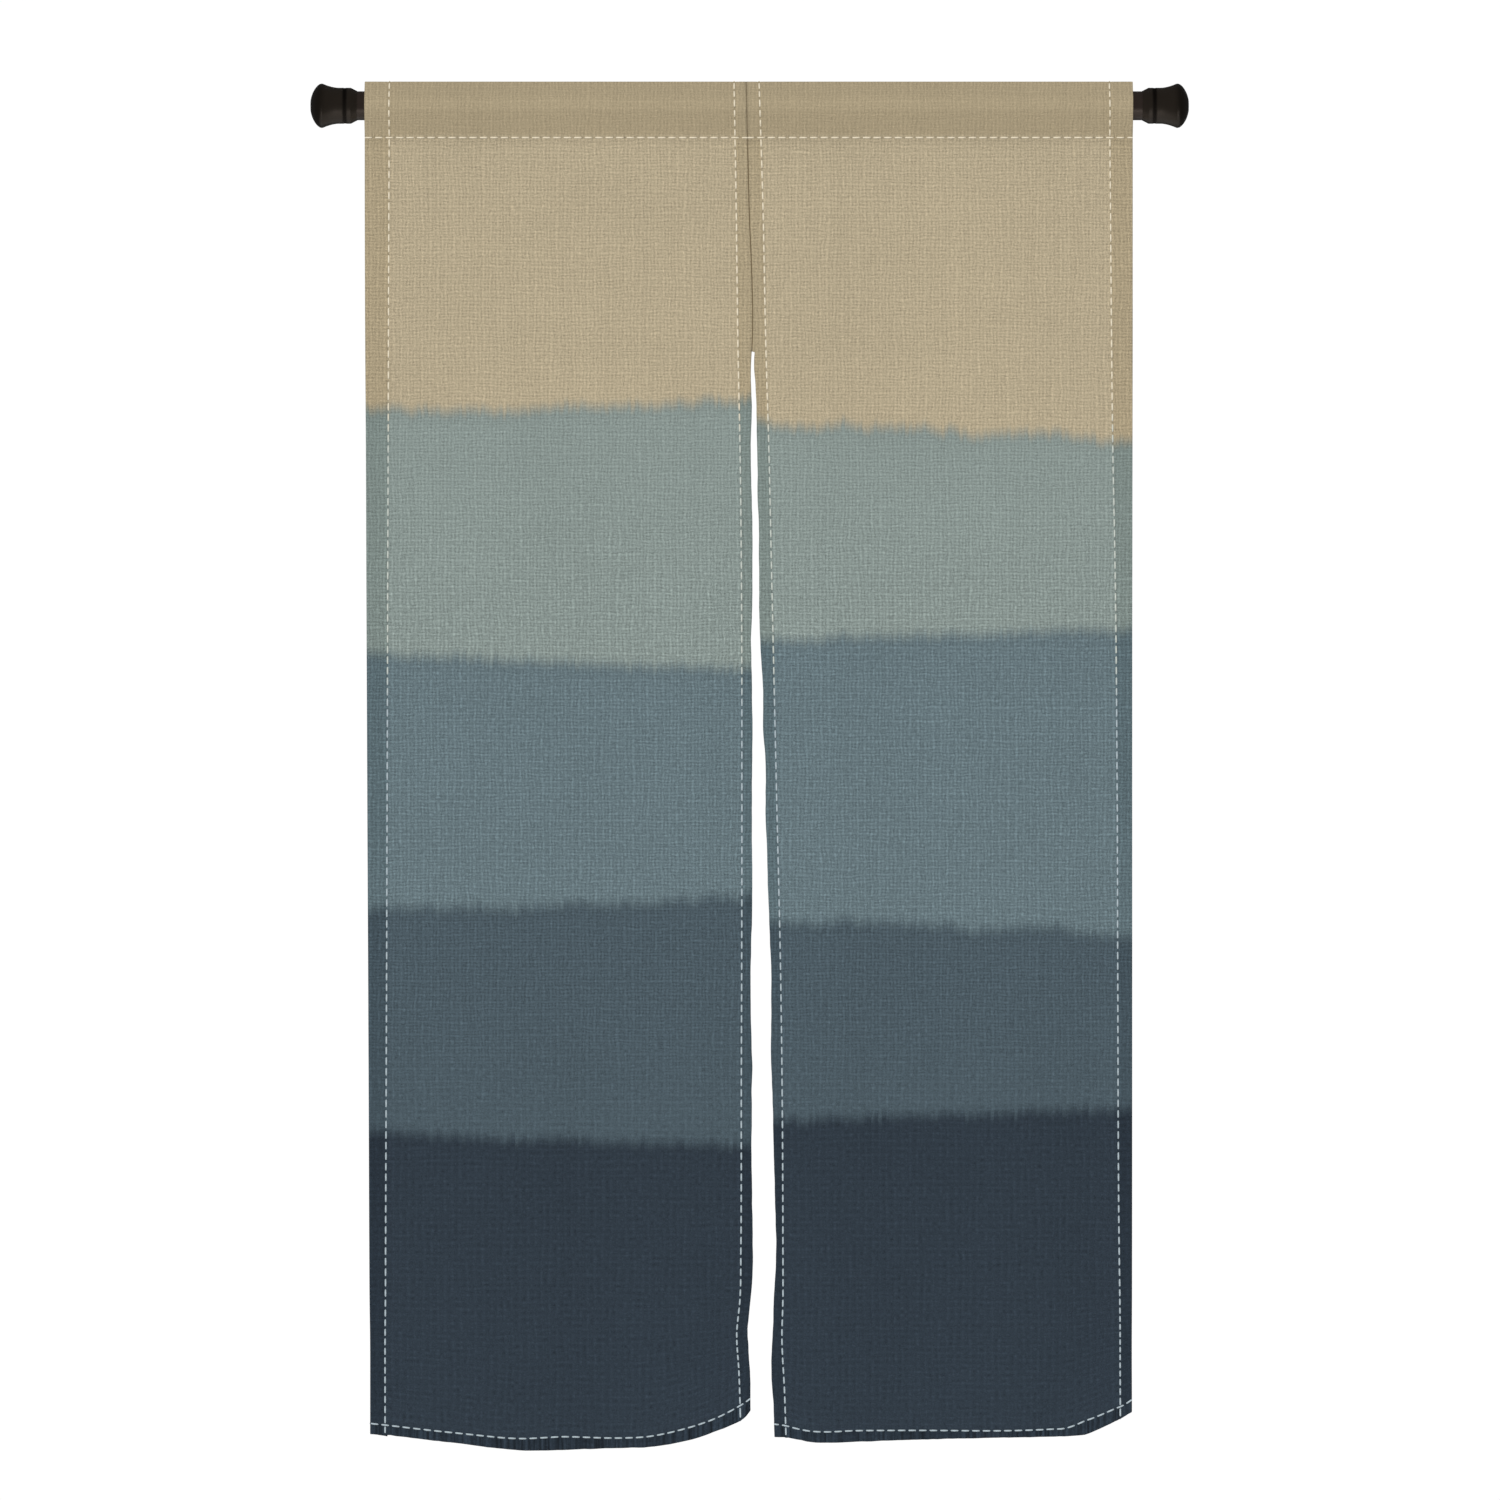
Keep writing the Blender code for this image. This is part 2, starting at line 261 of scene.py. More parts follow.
# Soft creases, given one by one: from (x, z) to (to_x, to_z), troughs (-) and ridges (+)
CREASES = table(
    "x z to_x to_z half_width forward",
    (0.150, -0.050, 0.158, -0.360, 0.0090, -0.0007),
    (0.268, -0.045, 0.262, -0.300, 0.0110, 0.0006),
    (0.372, -0.048, 0.380, -0.420, 0.0080, -0.0006),
    (0.486, -0.285, 0.395, -0.520, 0.0090, -0.0009),
    (0.492, -0.285, 0.575, -0.500, 0.0085, -0.0009),
    (0.488, -0.290, 0.455, -0.560, 0.0075, 0.0007),
    (0.602, -0.047, 0.596, -0.330, 0.0090, -0.0007),
    (0.718, -0.050, 0.727, -0.280, 0.0100, 0.0007),
    (0.832, -0.046, 0.824, -0.390, 0.0080, -0.0006),
    (0.118, -0.760, 0.165, -1.330, 0.0120, 0.0008),
    (0.300, -0.940, 0.282, -1.440, 0.0110, -0.0009),
    (0.415, -1.120, 0.470, -1.420, 0.0100, -0.0009),
    (0.585, -0.820, 0.610, -1.380, 0.0120, 0.0008),
    (0.745, -0.980, 0.728, -1.450, 0.0110, -0.0009),
    (0.850, -1.150, 0.896, -1.440, 0.0100, -0.0009),
)
CREASE_FADES = (0.25, 0.45)  # at its start and end, as shares of its length
# Short waves below the pocket's stitches, which go on where the cloth lies on the rod
GATHERS = {"forward": 0.0007, "width": 0.019, "length": 0.30, "reach": 0.060}
GATHERS_ON_ROD = {"share": 0.5, "z": 0.3 * POCKET_STITCH, "height": 0.012}
# Large and small unevenness, which grows over HANGS_FREE below the pocket's stitches
UNEVEN = table("forward width length seed", (0.0012, 0.085, 0.170, 1.5), (0.00042, 0.030, 0.075, 8.1))
HANGS_FREE = 0.03
STITCH_PULL = {"forward": 0.00030, "width": 0.0024, "least": 0.35}  # least: its share under a stitch
PAINTED_PUCKER_SHADE_WIDTH = 0.0011  # of the painted shade beside a stitch line
EDGE_WAVER = {"size": 0.00035, "length": 0.013, "grown": 0.020}
HEM_WAVER = {"size": 0.0004, "length": 0.0035}

# A running stitch: the thread's way along its line from a stitch's middle, on the face (0) and back (1)
STITCH = table(
    "along back lift thickness",
    (-0.0041, 0, -0.00055, 0.40),
    (-0.0035, 0, 0.00020, 0.92),
    (0.0000, 0, 0.00038, 1.00),
    (0.0035, 0, 0.00020, 0.92),
    (0.0041, 0, -0.00055, 0.40),
    (0.0044, 1, -0.00055, 0.40),
    (0.0058, 1, 0.00025, 1.00),
    (0.0073, 1, -0.00055, 0.40),
)
THREAD_RADIUS = 0.00102
THREAD_HIDDEN = 0.3  # its share of that inside the pocket and the bottom hem
THREAD_SUNK = 0.00055  # how much nearer the face it lies there
THREAD_TWIST = 0.0016  # from turn to turn
POCKET_THROUGH = FLAP_BACK - FRONT  # at its stitch line
SEAM_THREAD_RADIUS = 0.0007
SEAM_THREAD_DEPTH = 0.00070
OVERCAST = table(  # one stitch that joins the two edges at the back
    "across along lift",
    (-0.0034, 0.0000, -0.0006),
    (-0.0028, 0.0003, 0.0002),
    (0.0000, 0.0016, 0.0004),
    (0.0028, 0.0029, 0.0002),
    (0.0034, 0.0032, -0.0006),
)
OVERCAST_PITCH = 0.0056
OVERCAST_RADIUS = 0.0005

# Colours, linear
SAND = (0.463, 0.389, 0.263)
SAGE = (0.252, 0.303, 0.285)
MIST = (0.134, 0.186, 0.206)
SLATE = (0.070, 0.101, 0.122)
NAVY = (0.0282, 0.0412, 0.0570)
CREAM = (0.960, 0.860, 0.665)
PALE_SAGE = (0.680, 0.730, 0.670)
PALE_BLUE = (0.510, 0.600, 0.650)
SEAM_BROWN = (0.150, 0.108, 0.052)
CAP_BROWN = (0.0140, 0.0108, 0.0080)
ROD_BROWN = (0.0220, 0.0158, 0.0132)
# Where each dye begins, down from the rod, at a panel's left and right edges
DIPS_LEFT = ((SAGE, 0.338, 0.326), (MIST, 0.606, 0.622), (SLATE, 0.890, 0.876), (NAVY, 1.136, 1.150))
DIPS_RIGHT = ((SAGE, 0.352, 0.366), (MIST, 0.590, 0.578), (SLATE, 0.902, 0.914), (NAVY, 1.122, 1.108))
WARP_PITCH = 0.00415
WEFT_PITCH = 0.00370
# How far down from the rod the weave's contrast changes, twice, and the painted shade on the hems grows
# less
DEEP_DYE = (0.34, 0.62)
DEEPEST_DYE = (0.95, 1.20)
HEM_SHADE = (0.70, 0.95)
# Heights where the stitches take the dye's tints
TINT_SAGE = (-0.32, -0.38)
TINT_BLUE = (-0.60, -0.68)
# The caps have painted shade near the middle of their grooves, where they are also less glossy, and near
# their tips
CAP_GROOVE_SHADE = (0.0009, 0.0037)
CAP_DOME_SHADE = (0.009, 0.018)

FLOOR = {"level": -1.9, "radius": 2.4, "fade": (1.0, 2.35)}
# Name, azimuth, elevation, strength, spread, and whether it gives highlights
SUNS = (
    ("key light", -20, 26, 1.60, 30, False),
    ("fill light", 8, -50, 0.50, 35, True),
    ("back light", 160, 30, 1.10, 60, False),
)


def read(columns, key, name, at):
    """A smooth curve through one column of a table, held level past its ends."""
    keys, values = columns[key], columns[name]
    if keys[0] > keys[-1]:
        keys, values = keys[::-1], values[::-1]
    at = np.clip(at, keys[0], keys[-1])
    low = np.clip(np.searchsorted(keys, at) - 1, 0, len(keys) - 2)
    span = keys[low + 1] - keys[low]
    slopes = np.gradient(values, keys)
    t = (at - keys[low]) / span
    return (
        (2 * t**3 - 3 * t**2 + 1) * values[low]
        + (t**3 - 2 * t**2 + t) * slopes[low] * span
        + (3 * t**2 - 2 * t**3) * values[low + 1]
        + (t**3 - t**2) * slopes[low + 1] * span
    )


def ease(share):
    """From 0 to 1, level at both ends."""
    share = np.clip(share, 0.0, 1.0)
    return share * share * (3 - 2 * share)


def bell(away):
    """1 at 0, and nearly 0 from 2 on."""
    return np.exp(-away * away)


def lumps(x, z, seed):
    """Smooth random unevenness from -1 to 1, with lumps about 1 across."""
    x, z = np.broadcast_arrays(x, z)
    found = [noise.noise(Vector((a, b, seed))) for a, b in zip(x.ravel(), z.ravel())]
    return np.reshape(found, x.shape)


# ---------------------------------------------------------------- the cloth's course


def pocket_side(stitch_y, slack_points, rod_points, fold_points):
    """One side of the pocket's outer face, from its stitch line up to the top fold, as (y, z)."""
    reach = ROD_RADIUS + ROD_CLEARANCE + POCKET_LAYER
    side = math.copysign(1.0, stitch_y)
    stitch = Vector((stitch_y, POCKET_STITCH))
    straight = math.acos(reach / stitch.length)
    lowest = straight + math.atan2(abs(stitch_y), -POCKET_STITCH) - math.pi / 2
    highest = math.asin((reach - FOLD_RADIUS) / (FOLD_TOP - FOLD_RADIUS))
    on_rod = [
        Vector((side * reach * math.cos(turn), reach * math.sin(turn)))
        for turn in np.linspace(lowest, highest, rod_points)
    ]
    centre = FOLD_TOP - FOLD_RADIUS
    fold = [
        Vector((side * FOLD_RADIUS * math.cos(turn), centre + FOLD_RADIUS * math.sin(turn)))
        for turn in np.linspace(highest, math.radians(75), fold_points)
    ]
    slack = [stitch.lerp(on_rod[0], share) for share in np.linspace(0, 1, slack_points)[:-1]]
    return [*slack, *on_rod, *fold]


def cloth_course():
    """The cloth's way from the pocket's loose back edge over the rod, down the front and round the hem.

    Stations along the cloth's face: the distance along it, which equals -z where it hangs, the place
    (y, z), the way to its inside (in_y, in_z) and how deep a turned side hem is there.
    """
    back = [
        Vector((FLAP_BACK - share * 0.3 * MM, FLAP_END + rise))
        for share, rise in ((1.0, 0.0), (0.3, 0.4 * MM), (0.0, 1.2 * MM))
    ]
    back += pocket_side(FLAP_BACK, 5, 14, 5)
    front = pocket_side(FRONT, 7, 14, 5)[::-1]
    near = [-1 * MM, -3 * MM]
    steps = [*np.linspace(POCKET_STITCH, HEM_STITCH, 2 * PITCHES_DOWN + 1)[1:-1]]
    steps += [SLIT_HEAD, SLIT_HEAD - 1 * MM]
    heights = [
        *(POCKET_STITCH + step for step in near),
        *sorted(steps, reverse=True),
        *(HEM_STITCH - step for step in near[::-1]),
        HEM_STITCH,
        *(HEM_STITCH + step for step in near),
        HEM_STITCH - 6 * MM,
        HEM_STITCH - 9 * MM,
        HEM_LEVEL + HEM_FOLD,
    ]
    down = [Vector((FRONT, z)) for z in heights]
    fold_centre = Vector((FRONT + HEM_FOLD, HEM_LEVEL + HEM_FOLD))
    around = [
        fold_centre + HEM_FOLD * Vector((-math.cos(turn), -math.sin(turn)))
        for turn in np.linspace(0, math.pi, 8)[1:]
    ]
    hem_back = FRONT + 2 * HEM_FOLD
    hem_end = HEM_STITCH + HEM_PAST
    loose = FRONT + 2 * LYING
    up = [Vector((hem_back, z)) for z in np.linspace(HEM_LEVEL + HEM_FOLD, hem_end - 1.2 * MM, 6)[1:]]
    up += [Vector((hem_back - 0.03 * MM, hem_end - 0.4 * MM)), Vector((loose, hem_end))]
    points = np.array([*back, Vector((0.0, FOLD_TOP)), *front, *down, *around, *up])
    along = np.concatenate([[0.0], np.cumsum(np.linalg.norm(np.diff(points, axis=0), axis=1))])
    along += -POCKET_STITCH - along[len(back) + len(front)]
    ways = np.gradient(points, along, axis=0)
    ways /= np.linalg.norm(ways, axis=1)[:, None]
    free = ease((FLAP_END - 1.5 * MM - points[:, 1]) / (8 * MM))
    free *= ease((points[:, 1] - HEM_STITCH - 1 * MM) / (5 * MM))
    return {
        "along": along,
        "y": points[:, 0],
        "z": points[:, 1],
        "in_y": -ways[:, 1],
        "in_z": ways[:, 0],
        "hem_depth": LYING + (SIDE_HEM - LYING) * free,
    }


COURSE = cloth_course()
PITCH_DOWN = (POCKET_STITCH - HEM_STITCH) / PITCHES_DOWN


def at_station(name, along):
    return np.interp(along, COURSE["along"], COURSE[name])


class Panel:
    """One of the two lengths of cloth, and where any point of it hangs."""

    def __init__(self, lines, hem, corner):
        self.lines = lines
        self.hem = hem
        self.corner = corner
        self.inwards = math.copysign(1.0, lines["inner_stitch"][0] - lines["outer"][0])

    def line(self, name, z):
        return read(self.lines, "z", name, z)

    def inner_edge(self, z):
        """The edge along the seam and the slit."""
        below = np.maximum(SLIT_HEAD - z, 0.0)
        open_here = ease(below / (1 * MM))
        gap = GAP * open_here - SEAM_OVERLAP * (1 - open_here)
        grown = EDGE_WAVER["size"] * ease(below / EDGE_WAVER["grown"])
        waver = grown * lumps(z / EDGE_WAVER["length"], 0.0, 3.7 + self.inwards)
        edge = read(SEAM, "z", "x", z) - self.inwards * gap / 2 + waver
        if self.inwards < 0:
            edge = edge + open_here * read(SEAM, "z", "width", z)
        return edge

    def level_run(self, z):
        """Places along a level line of stitches, and the thread's way up to each."""
        x = np.linspace(self.hem["x"][0] - 50 * MM, self.hem["x"][-1] + 50 * MM, 500)
        rise = read(self.hem, "x", "line", x) * (z < HEM_FLEX)
        return x, np.concatenate([[0.0], np.cumsum(np.hypot(np.diff(x), np.diff(rise)))])

    def level_pitches(self, z):
        """The first place, pitch and number of a level line's stitches, along its thread's way."""
        start, end = (np.interp(self.line(name, z), *self.level_run(z)) for name in STITCH_LINES)
        number = round(abs(end - start) / STITCH_PITCH)
        return start, (end - start) / number, number

    def forward(self, x, z):
        """How far the cloth's large folds stand forward, as in the solids."""
        down = (FOLDS_START - z) / (FOLDS_START - HEM_LEVEL)
        grown = ease((FOLDS_START - z) / FOLDS_REACH) * (FOLDS_AT_TOP + (1 - FOLDS_AT_TOP) * down)
        depth = 0.0
        for place, drift, half_width, forward in zip(*FOLDS.values()):
            depth = depth + forward * bell((x - place - drift * (1 - down)) / half_width)
        depth = depth * grown
        free = ease((SLIT_HEAD - z) / SLIT_TURN["reach"])
        inner = read(SEAM, "z", "x", z)
        if self.inwards < 0:
            inner = inner + read(SEAM, "z", "width", z)
        depth = depth - free * SLIT_TURN["back"] * bell((x - inner) / SLIT_TURN["width"])
        from_corner = np.hypot(x - self.corner, z - HEM_LEVEL) / CORNER_TURN["width"]
        return depth + CORNER_TURN["forward"] * bell(from_corner)

    def relief(self, x, z, along):
        """Creases, gathers and the pull of the stitches, outwards from the cloth's face."""
        hanging = ease((POCKET_STITCH - z) / HANGS_FREE)
        out = 0.0
        for forward, width, length, seed in zip(*UNEVEN.values()):
            out = out + forward * hanging * lumps(x / width, z / length, seed)
        below = np.maximum(POCKET_STITCH - z, 0.0) / GATHERS["reach"]
        waves = lumps(x / GATHERS["width"], z / GATHERS["length"], 5.2)
        out = out + GATHERS["forward"] * waves * below * np.exp(1 - below) * (z < POCKET_STITCH)
        on_rod = GATHERS_ON_ROD["share"] * bell((z - GATHERS_ON_ROD["z"]) / GATHERS_ON_ROD["height"])
        out = out + GATHERS["forward"] * on_rod * np.maximum(waves, 0.0)
        for x0, z0, x1, z1, half_width, forward in zip(*CREASES.values()):
            run = np.array((x1 - x0, z1 - z0))
            share = ((x - x0) * run[0] + (z - z0) * run[1]) / (run @ run)
            away = np.hypot(x - x0 - share * run[0], z - z0 - share * run[1])
            fade = ease(share / CREASE_FADES[0]) * ease((1 - share) / CREASE_FADES[1])
            out = out + forward * fade * bell(away / half_width)
        out = out - STITCH_PULL["forward"] * self.pull(x, z, along, STITCH_PULL["width"])
        return out * ease((z - HEM_LEVEL - HEM_FOLD) / (4 * MM))

    def pull(self, x, z, along, width):
        """How near a point is to a stitch line: 1 on it where the thread dives, less under a stitch."""

        def beside_line(beside, stitches):
            dives = 0.5 + 0.5 * np.cos(math.tau * stitches)
            return beside * (STITCH_PULL["least"] + (1 - STITCH_PULL["least"]) * dives)

        beside = np.maximum(*(bell((x - self.line(name, z)) / width) for name in STITCH_LINES))
        found = beside_line(beside, (along + POCKET_STITCH) / PITCH_DOWN)
        for level in (POCKET_STITCH, HEM_STITCH):
            start, pitch, _ = self.level_pitches(level)
            sewn = np.interp(x, *self.level_run(level))
            beside = bell((z - level) / width) * (along > 0)
            found = np.maximum(found, beside_line(beside, (sewn - start) / pitch + 0.5))
        return found

    def place(self, along, x, behind):
        """World points of the cloth, so far behind its face."""
        y, z, in_y, in_z = (at_station(name, along) for name in ("y", "z", "in_y", "in_z"))
        behind = behind - self.relief(x, z, along)
        line, edge = (read(self.hem, "x", name, x) for name in ("line", "edge"))
        rise = line * ease((HEM_FLEX - z) / (HEM_FLEX - HEM_STITCH - 1 * MM))
        below = np.clip((HEM_STITCH - z) / HEM_DEPTH, 0.0, 1.0)
        waver = HEM_WAVER["size"] * lumps(x / HEM_WAVER["length"], 0.0, 6.4)
        rise = rise + below * (edge - line) + ease(below) * waver
        points = (x + 0 * y, y + in_y * behind - self.forward(x, z), z + in_z * behind + rise)
        return np.stack(np.broadcast_arrays(*points), axis=-1)

    def side_hem(self, edge, stitch, way, depth):
        """A side hem's columns from its loose end round the fold to the face: x, behind, unfolded x."""
        fold = depth / 2
        end = stitch + way * HEM_PAST
        turn_in = edge + way * fold
        columns = [
            (end, LYING + 0 * depth, 2 * edge - end),
            (end - way * 0.3 * MM, LYING + 0.7 * (depth - LYING), 2 * edge - end + way * 0.3 * MM),
            (end - way * 1.0 * MM, depth, 2 * edge - end + way * 1.0 * MM),
        ]
        for share in (0.12, 0.45, 0.80, 1.0):
            x = end + (turn_in - end) * share
            columns.append((x, depth, 2 * edge - x))
        for turn in np.radians((150, 120, 90, 60, 30)):
            x = turn_in - way * fold * math.sin(turn)
            unfolded = edge + way * fold * (1 - turn / (math.pi / 2))
            columns.append((x, fold * (1 - math.cos(turn)), unfolded))
        for share in (0.0, 0.16, 0.32, 0.48):
            x = turn_in + (stitch - turn_in) * share
            columns.append((x, 0 * depth, x))
        for short in (3 * MM, 1 * MM):
            x = stitch - way * short
            columns.append((x, 0 * depth, x))
        return columns

    def columns(self, z, depth):
        """The x, behind and unfolded x of every column of points, at the heights z."""
        outer, outer_stitch, inner_stitch = (self.line(name, z) for name in ("outer", *STITCH_LINES))
        inner = self.inner_edge(z)
        way = self.inwards
        body = [outer_stitch, outer_stitch + way * MM, outer_stitch + way * 3 * MM]
        for share in np.linspace(0, 1, BODY_COLUMNS)[1:-1]:
            body.append(outer_stitch + (inner_stitch - outer_stitch) * share)
        body += [inner_stitch - way * 3 * MM, inner_stitch - way * MM, inner_stitch]
        found = self.side_hem(outer, outer_stitch, way, depth)
        found += [(x, 0 * depth, x) for x in body]
        found += self.side_hem(inner, inner_stitch, -way, depth)[::-1]
        return (np.stack(values, axis=1) for values in zip(*found))


LEFT = Panel(LEFT_LINES, LEFT_HEM, LEFT_CORNER)
RIGHT = Panel(RIGHT_LINES, RIGHT_HEM, RIGHT_CORNER)


# ---------------------------------------------------------------- making pieces


def add_object(name, mesh, material):
    mesh.materials.append(material)
    item = bpy.data.objects.new(name, mesh)
    bpy.context.scene.collection.objects.link(item)
    return item


def grid_mesh(name, points):
    """A sheet of quads through rows of points."""
    rows, columns = points.shape[:2]
    bm = bmesh.new()
    bmesh.ops.create_grid(bm, x_segments=columns - 1, y_segments=rows - 1, size=1)
    mesh = bpy.data.meshes.new(name)
    bm.to_mesh(mesh)
    bm.free()
    flat = np.empty(len(mesh.vertices) * 3)
    mesh.vertices.foreach_get("co", flat)
    flat = flat.reshape(-1, 3)
    order = np.lexsort((flat[:, 0].round(5), flat[:, 1].round(5)))
    placed = np.empty_like(flat)
    placed[order] = points.reshape(-1, 3)
    mesh.vertices.foreach_set("co", placed.ravel())
    return mesh, order


def note(mesh, order, name, values):
    """Keeps one number for each point, for the materials."""
    kept = np.empty(len(order))
    kept[order] = values.ravel()
    mesh.attributes.new(name, "FLOAT", "POINT").data.foreach_set("value", kept)


def unfold(mesh, order, across, along):
    """The UV map: each point's place on the flat cloth, in metres."""
    flat = np.empty((len(order), 2))
    flat[order] = np.stack((across.ravel(), along.ravel()), axis=1)
    corners = np.empty(len(mesh.loops), dtype=int)
    mesh.loops.foreach_get("vertex_index", corners)
    mesh.uv_layers.new(name="cloth").data.foreach_set("uv", flat[corners].ravel())


def make_cloth(name, panel, material):
    along = COURSE["along"][:, None]
    z = COURSE["z"]
    x, behind, unfolded = panel.columns(z, COURSE["hem_depth"])
    points = panel.place(along, x, behind)
    mesh, order = grid_mesh(name, points)
    if panel.inwards > 0:
        mesh.flip_normals()
    unfold(mesh, order, unfolded, along + 0 * x)
    z = z[:, None]
    in_hem = (x - panel.line("outer_stitch", z)) * panel.inwards < 0
    in_hem = in_hem | ((x - panel.line("inner_stitch", z)) * panel.inwards > 0)
    in_hem = in_hem | (z < HEM_STITCH) | (along < -POCKET_STITCH)
    # Painted shade just below the pocket's stitch line, fading over a few millimetres
    below = bell((along + POCKET_STITCH) / (6 * MM)) * (along > -POCKET_STITCH)
    at_seam = bell((x - panel.inner_edge(z)) / (0.7 * MM))
    marks = {
        # Painted shade on the doubled cloth of the hems and pocket
        "doubled": in_hem,
        "painted_shade_below_pocket": below + 0 * x,
        "ribbed": (z < HEM_STITCH) + 0 * x,
        "taut": (along < -POCKET_STITCH) + 0 * x,
        # Painted shade beside the stitch lines, deepest where the thread dives
        "painted_stitch_shade": panel.pull(x, z, along, PAINTED_PUCKER_SHADE_WIDTH),
        # Painted shade in the groove of the seam above the slit
        "sewn": at_seam * (z > SLIT_HEAD - 0.5 * MM),
    }
    for mark, values in marks.items():
        note(mesh, order, mark, values)
    mesh.shade_smooth()
    item = add_object(name, mesh, material)
    thickness = item.modifiers.new("thickness", "SOLIDIFY")
    thickness.thickness = LAYER - 0.01 * MM
    thickness.offset = -1.0
    thickness.use_even_offset = True
    return item


def make_threads(name, paths, radius, material):
    """Threads through the paths' points, with their thickness at each, joined as one mesh."""
    curve = bpy.data.curves.new(name, "CURVE")
    curve.dimensions = "3D"
    curve.bevel_depth = radius
    curve.bevel_resolution = 1
    curve.use_fill_caps = True
    for path, thickness in paths:
        spline = curve.splines.new("POLY")
        spline.points.add(len(path) - 1)
        spline.points.foreach_set("co", np.insert(path, 3, 1.0, axis=1).ravel())
        spline.points.foreach_set("radius", thickness)
    thread = bpy.data.objects.new(name, curve)
    mesh = bpy.data.meshes.new_from_object(thread)
    bpy.data.objects.remove(thread)
    mesh.name = name
    mesh.shade_smooth()
    return add_object(name, mesh, material)


def running_stitches(middles, start, end):
    """Along a line, the thread's distances, its share of the way to the back, lift and thickness."""
    along = (middles[:, None] + STITCH["along"]).ravel()
    inside = (along > start) & (along < end)
    kept = inside | np.roll(inside, 1) | np.roll(inside, -1)
    rest = (np.tile(STITCH[name], len(middles))[kept] for name in ("back", "lift", "thickness"))
    return np.clip(along[kept], start, end), *rest


def side_stitching(panel, name):
    """The thread down a side hem, from the pocket's loose edge over the rod to the bottom hem's."""
    low, high = COURSE["along"][0], COURSE["along"][-1]
    first = math.floor((low + POCKET_STITCH) / PITCH_DOWN) - 1
    last = math.ceil((high + POCKET_STITCH) / PITCH_DOWN) + 1
    middles = -POCKET_STITCH + PITCH_DOWN * (np.arange(first, last) + 0.5)
    along, back, lift, thickness = running_stitches(middles, low + 1 * MM, high - 1 * MM)
    x = panel.line(name, at_station("z", along))
    depth = at_station("hem_depth", along)
    inside = back * ease((SIDE_HEM - depth) / (SIDE_HEM - LYING))  # in the pocket or the bottom hem
    behind = back * (depth + lift - inside * THREAD_SUNK) - (1 - back) * lift
    return panel.place(along, x, behind), thickness * (1 - (1 - THREAD_HIDDEN) * inside)


def level_stitching(panel, along, through):
    """The thread that closes the pocket or the bottom hem."""
    z = at_station("z", along)
    places, run = panel.level_run(z)
    start, pitch, number = panel.level_pitches(z)
    middles = np.sort(start + pitch * np.arange(-3, number + 4))
    edges = sorted((float(panel.line("outer", z)), float(panel.inner_edge(z))))
    low, high = np.interp(edges, places, run)
    sewn, back, lift, thickness = running_stitches(middles, low + 0.3 * MM, high - 0.3 * MM)
    x = np.interp(sewn, run, places)
    return panel.place(along, x, back * (through + lift) - (1 - back) * lift), thickness


def seam_paths():
    """The dark thread that joins the panels in the groove of their seam."""
    along = np.arange(COURSE["along"][0] + 1 * MM, -SLIT_HEAD - 0.5 * MM, 4 * MM)
    x = read(SEAM, "z", "x", at_station("z", along))
    return [(LEFT.place(along, x, SEAM_THREAD_DEPTH), np.ones(len(x)))]


def overcast_paths():
    """Slanting stitches over the joined edges, on the back, from the pocket down to the slit."""
    paths = []
    for start in np.arange(-FLAP_END + 9 * MM, -SLIT_HEAD - 5 * MM, OVERCAST_PITCH):
        along = start + OVERCAST["along"]
        x = read(SEAM, "z", "x", -along) + OVERCAST["across"]
        behind = at_station("hem_depth", along) + OVERCAST["lift"]
        paths.append((LEFT.place(along, x, behind), np.ones(len(x))))
    return paths


def make_turned(name, profile, material):
    """A piece turned about the rod's axis from (distance along the rod, radius) points.

    A profile that starts on the axis ends on it too, and any other is a closed loop.
    """
    bm = bmesh.new()
    corners = [bm.verts.new((x, 0.0, radius)) for x, radius in profile]
    edges = [bm.edges.new(ends) for ends in zip(corners, corners[1:])]
    if profile[0][1] > 0:
        edges.append(bm.edges.new((corners[-1], corners[0])))
    bmesh.ops.spin(
        bm,
        geom=corners + edges,
        cent=(0, 0, 0),
        axis=(1, 0, 0),
        angle=math.tau,
        steps=ROUND_STEPS,
        use_merge=True,
    )
    bmesh.ops.remove_doubles(bm, verts=bm.verts, dist=0.002 * MM)
    bmesh.ops.recalc_face_normals(bm, faces=bm.faces)
    mesh = bpy.data.meshes.new(name)
    bm.to_mesh(mesh)
    bm.free()
    mesh.shade_smooth()
    mesh.set_sharp_from_angle(angle=math.radians(40))
    return add_object(name, mesh, material)


